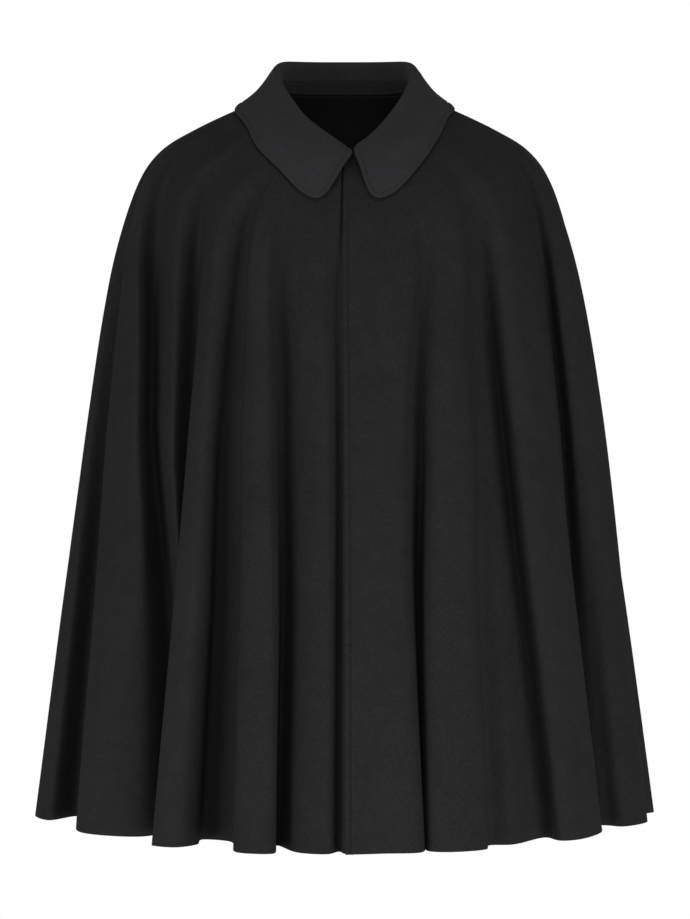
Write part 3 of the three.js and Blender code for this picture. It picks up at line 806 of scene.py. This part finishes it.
ribs = between(COLLAR_TABLE, np.linspace(len(COLLAR) - 1, 0, COLLAR_RIBS + 1))
collar_grid = np.stack([collar_rib(rib) for rib in ribs], axis=1) * MM
print("collar grid:", collar_grid.shape[0], "steps on", collar_grid.shape[1], "ribs")

# %% [markdown]
# The collar's border is stitched like the front edge. Its distance counts from the nearest point
# of the edge, on the outer half of each rib only.

# %% Collar cloth
COLLAR_STITCH = 6 * MM


def distance_to(points, line):
    """Distance from every point of a grid to a line of points."""
    flat = points.reshape(-1, 3)
    best = np.full(len(flat), FAR)
    for place in line:
        best = np.minimum(best, np.linalg.norm(flat - place, axis=1))
    return best.reshape(points.shape[:2])


outside = COLLAR_STEPS // 2
border = np.vstack([collar_grid[outside:, 0], collar_grid[-1], collar_grid[outside:, -1][::-1]])
border_distance = distance_to(collar_grid, border)
border_distance[:outside] = FAR
collar_distance = np.abs(border_distance - COLLAR_STITCH)
collar_grid = stitched_edge(collar_grid, border_distance, COLLAR_STITCH)
pieces["collar_fall"] = make_sheet("collar_fall_cloth", collar_grid, COLLAR_PAINTED_LIGHT_WOOL, collar_distance)
print("collar area", round(area_of(pieces["collar_fall"]), 4))
print("collar edge", round(arc_lengths(collar_grid, 1)[-1, -1], 3))
print("collar depth", round(arc_lengths(collar_grid, 0)[-1].max(), 3))
thicken(pieces["collar_fall"])

# %% [markdown]
# The neck band is the low strip that shows inside the neck. It stands on the neck seam, and the
# collar's foot follows its top edge. Its soft edges are finer, because it is so low.

# %% Neck band
BAND_STEPS = 10
FINE_EDGE = 0.3 * MM


def band_point(rib, share):
    """A point on the band's inner face, at a share of its height over the neck seam."""
    height = FOOT_GAP + (band_height(rib[0]) - FOOT_GAP) * share
    radius, z = band_face(rib, height)
    return polar(radius, rib[0], z)


shares = np.linspace(0, 1, BAND_STEPS + 1)
band_grid = np.array([[band_point(rib, share) for rib in ribs] for share in shares]) * MM
no_stitch = np.full(band_grid.shape[:2], FAR)
pieces["collar_stand"] = make_sheet("collar_stand_cloth", band_grid, BAND_PAINTED_SHADE_WOOL, no_stitch)
print("band area", round(area_of(pieces["collar_stand"]), 4))
print("band length", round(arc_lengths(band_grid, 1)[0, -1], 3))
thicken(pieces["collar_stand"], FINE_EDGE)

# %% [markdown]
# Stitches repeat in the hundreds, so Geometry Nodes lays them. The group takes a line of points
# that carry the direction facing out of the cloth, walks along it at an even pitch, and sets one
# small stretched ball at each step. A fixed seed tilts every stitch a little.

# %% Stitch group
SOCKETS = ("Pitch", "Stitch length", "Thread radius", "Turn", "Tilt")


def stitch_group():
    group = bpy.data.node_groups.new("row of stitches", "GeometryNodeTree")
    group.interface.new_socket("Line", in_out="INPUT", socket_type="NodeSocketGeometry")
    for name in SOCKETS:
        group.interface.new_socket(name, in_out="INPUT", socket_type="NodeSocketFloat")
    group.interface.new_socket("Seed", in_out="INPUT", socket_type="NodeSocketInt")
    group.interface.new_socket("Thread", in_out="INPUT", socket_type="NodeSocketMaterial")
    group.interface.new_socket("Stitches", in_out="OUTPUT", socket_type="NodeSocketGeometry")

    def add(kind, inputs, **settings):
        node = group.nodes.new(kind)
        for key, value in settings.items():
            setattr(node, key, value)
        for key, value in inputs.items():
            if isinstance(value, bpy.types.NodeSocket):
                group.links.new(value, node.inputs[key])
            else:
                node.inputs[key].default_value = value
        return node.outputs

    given = add("NodeGroupInput", {})
    curve = add("GeometryNodeMeshToCurve", {"Mesh": given["Line"]})["Curve"]
    steps = add("GeometryNodeResampleCurve", {"Curve": curve, "Length": given["Pitch"]}, mode="LENGTH")
    outward = add("GeometryNodeInputNamedAttribute", {"Name": "outward"}, data_type="FLOAT_VECTOR")
    tangent = add("GeometryNodeInputTangent", {})
    axes = {"Primary Axis": tangent["Tangent"], "Secondary Axis": outward["Attribute"]}
    along = add("FunctionNodeAxesToRotation", axes, primary_axis="X", secondary_axis="Z")
    low = add("ShaderNodeMath", {0: given["Turn"], 1: given["Tilt"]}, operation="SUBTRACT")
    high = add("ShaderNodeMath", {0: given["Turn"], 1: given["Tilt"]}, operation="ADD")
    spread = {"Min": low["Value"], "Max": high["Value"], "Seed": given["Seed"]}
    angle = add("FunctionNodeRandomValue", spread, data_type="FLOAT")
    axis = {"Axis": (0, 0, 1), "Angle": angle[1]}
    spin = add("FunctionNodeAxisAngleToRotation", axis)
    turned = add(
        "FunctionNodeRotateRotation",
        {"Rotation": along["Rotation"], "Rotate By": spin["Rotation"]},
        rotation_space="LOCAL",
    )
    ball = add("GeometryNodeMeshUVSphere", {"Segments": 6, "Rings": 5, "Radius": 1.0})
    half = add("ShaderNodeMath", {0: given["Stitch length"], 1: 0.5}, operation="MULTIPLY")
    sizes = {"X": half["Value"], "Y": given["Thread radius"], "Z": given["Thread radius"]}
    size = add("ShaderNodeCombineXYZ", sizes)
    stitch = add("GeometryNodeTransform", {"Geometry": ball["Mesh"], "Scale": size["Vector"]})
    smooth = add("GeometryNodeSetShadeSmooth", {"Geometry": stitch["Geometry"]})
    laid = add(
        "GeometryNodeInstanceOnPoints",
        {"Points": steps["Curve"], "Instance": smooth["Geometry"], "Rotation": turned["Rotation"]},
    )
    real = add("GeometryNodeRealizeInstances", {"Geometry": laid["Instances"]})
    threaded = {"Geometry": real["Geometry"], "Material": given["Thread"]}
    coloured = add("GeometryNodeSetMaterial", threaded)
    add("NodeGroupOutput", {"Stitches": coloured["Geometry"]})
    return group


STITCHES = stitch_group()
print("stitch group:", len(STITCHES.nodes), "nodes")

# %% [markdown]
# To sew, a mesh of bare lines takes the group as a modifier, its inputs are set by their sockets'
# identifiers, and the evaluated result replaces the lines. A line of stitches at a fixed distance
# from an edge is found level by level, between the two columns that the distance lies between.

# %% Sewing
STITCH_PITCH = 3.7 * MM
STITCH_LENGTH = 1.9 * MM
THREAD_RADIUS = 0.3 * MM
STITCH_TILT = math.radians(5)
STITCH_SEED = 4


def sew(name, lines, thread=THREAD, pitch=STITCH_PITCH, length=STITCH_LENGTH, turn=0.0):
    """Stitches along lines, each a pair of arrays: points, and directions out of the cloth."""
    points, outward, edges = [], [], []
    for places, directions in lines:
        first = len(points)
        points.extend(places.tolist())
        outward.extend(directions.tolist())
        edges.extend((k, k + 1) for k in range(first, len(points) - 1))
    mesh = bpy.data.meshes.new(name)
    mesh.from_pydata(points, edges, [])
    layer = mesh.attributes.new("outward", "FLOAT_VECTOR", "POINT")
    layer.data.foreach_set("vector", np.array(outward, float).ravel())
    piece = bpy.data.objects.new(name, mesh)
    bpy.context.collection.objects.link(piece)
    rows = piece.modifiers.new("stitches", "NODES")
    rows.node_group = STITCHES
    values = {
        "Pitch": pitch,
        "Stitch length": length,
        "Thread radius": THREAD_RADIUS,
        "Turn": turn,
        "Tilt": STITCH_TILT,
        "Seed": STITCH_SEED,
        "Thread": thread,
    }
    for item in STITCHES.interface.items_tree:
        if item.in_out == "INPUT" and item.name in values:
            rows[item.identifier] = values[item.name]
    depsgraph = bpy.context.evaluated_depsgraph_get()
    sewn = bpy.data.meshes.new_from_object(piece.evaluated_get(depsgraph))
    piece.modifiers.clear()
    piece.data = sewn
    sewn.name = name
    print(name, len(sewn.polygons), "faces")
    return piece


def line_across(grid, distance, wanted):
    """For every row of a grid, the point where a growing distance reaches the wanted one."""
    normals = outward_normals(grid)
    places, directions = [], []
    for points, facing, run in zip(grid, normals, distance):
        column = int(np.argmax(run >= wanted))
        if column == 0:
            continue
        share = (wanted - run[column - 1]) / (run[column] - run[column - 1])
        places.append(points[column - 1] + (points[column] - points[column - 1]) * share)
        directions.append(facing[column])
    return np.array(places), np.array(directions)


print("pitch", STITCH_PITCH, "length", STITCH_LENGTH)

# %% [markdown]
# The front edge is sewn from the collar to the hem, just inside its groove, with a bar tack that
# holds the fly across its border. The hem of the fly is sewn over its own width.

# %% Sewing on the front edge
BESIDE_GROOVE = 1.2 * MM
FIRST_LEVEL = 9
HEM_STITCH_RISE = 3.4 * MM
HEM_STITCH_WIDTH = 62 * MM
BAR_TACK_Z = -608 * MM
BAR_TACK_LENGTH = 5 * MM
BAR_TACK_PITCH = 0.45 * MM
BAR_TACK_HEIGHT = 1.4 * MM

edge_line, edge_out = line_across(left_grid, from_edge, PLACKET_STITCH + BESIDE_GROOVE)
edge_line, edge_out = edge_line[FIRST_LEVEL:], edge_out[FIRST_LEVEL:]
above_hem = arc_lengths(left_grid[::-1], 0)
columns_from_hem = left_grid[::-1].transpose(1, 0, 2)
hem_line, _ = line_across(columns_from_hem, above_hem.transpose(1, 0), HEM_STITCH_RISE)
inside_fly = (from_edge[-1] > PLACKET_STITCH + BESIDE_GROOVE) & (from_edge[-1] < HEM_STITCH_WIDTH)
hem_line = hem_line[inside_fly]
hem_out = outward_normals(left_grid)[-2][inside_fly]
tack_line, tack_out = line_across(left_grid, from_edge, PLACKET_STITCH / 2)
tack_row = int(np.argmin(np.abs(tack_line[:, 2] - BAR_TACK_Z)))
tack_top, tack_facing = tack_line[tack_row], tack_out[tack_row]
tack = np.stack([tack_top, tack_top - np.array([0, 0, BAR_TACK_HEIGHT])])
fly = [(edge_line, edge_out), (hem_line, hem_out)]
sewing = {
    "front_edge_stitches": sew("front_edge_stitches", fly),
    "bar_tack": sew(
        "bar_tack",
        [(tack, np.stack([tack_facing, tack_facing]))],
        thread=TACK_THREAD,
        pitch=BAR_TACK_PITCH,
        length=BAR_TACK_LENGTH,
        turn=math.radians(90),
    ),
}

# %% [markdown]
# The collar's border is one line of stitches, a fixed distance in from its edge. It follows the
# ribs along the two short front ends and crosses them everywhere else. The neck band has a line
# near its top and another near the neck seam.

# %% Sewing on the collar
END_RIBS = 16
BESIDE_BORDER = 0.9 * MM
BAND_STITCH_ROWS = (2, BAND_STEPS - 1)


def border_line(grid, distance, wanted):
    """The line at the wanted distance from the collar's edge, from one front end to the other."""
    normals = outward_normals(grid)
    rows, columns = distance.shape

    def cross(row, column, next_row, next_column):
        near, far = distance[row, column], distance[next_row, next_column]
        share = (wanted - near) / (far - near)
        place = grid[row, column] + (grid[next_row, next_column] - grid[row, column]) * share
        return place, normals[row, column]

    def front_end(step):
        found = []
        for row in range(outside, rows):
            for k in range(END_RIBS):
                column = k if step > 0 else columns - 1 - k
                if distance[row, column] < wanted <= distance[row, column + step]:
                    found.append(cross(row, column, row, column + step))
                    break
        return found

    start, end = front_end(1), front_end(-1)
    middle = []
    for column in range(END_RIBS, columns - END_RIBS):
        for row in range(rows - 1, outside, -1):
            if distance[row, column] < wanted <= distance[row - 1, column]:
                middle.append(cross(row, column, row - 1, column))
                break
    crossings = start + middle + end[::-1]
    return np.array([c[0] for c in crossings]), np.array([c[1] for c in crossings])


collar_line = border_line(collar_grid, border_distance, COLLAR_STITCH + BESIDE_BORDER)
sewing["collar_stitches"] = sew("collar_stitches", [collar_line])

facing_in = outward_normals(band_grid)
band_lines = [(band_grid[row], facing_in[row]) for row in BAND_STITCH_ROWS]
sewing["neck_band_stitches"] = sew("neck_band_stitches", band_lines)

# %% [markdown]
# Each piece now rides on the one body and stands for its solid, whose imported part is hidden. The
# cells above print the pieces' lengths along the cloth and their areas, which matter because the
# panels narrow upwards. In the garment the three panels hang from the neck band, and the collar is
# folded over it.

# %% Hand over the cloth
for piece in sewing.values():
    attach(piece, BODY)
for name, piece in pieces.items():
    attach(piece, BODY)
    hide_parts(name)
print("pieces:", len(pieces) + len(sewing))
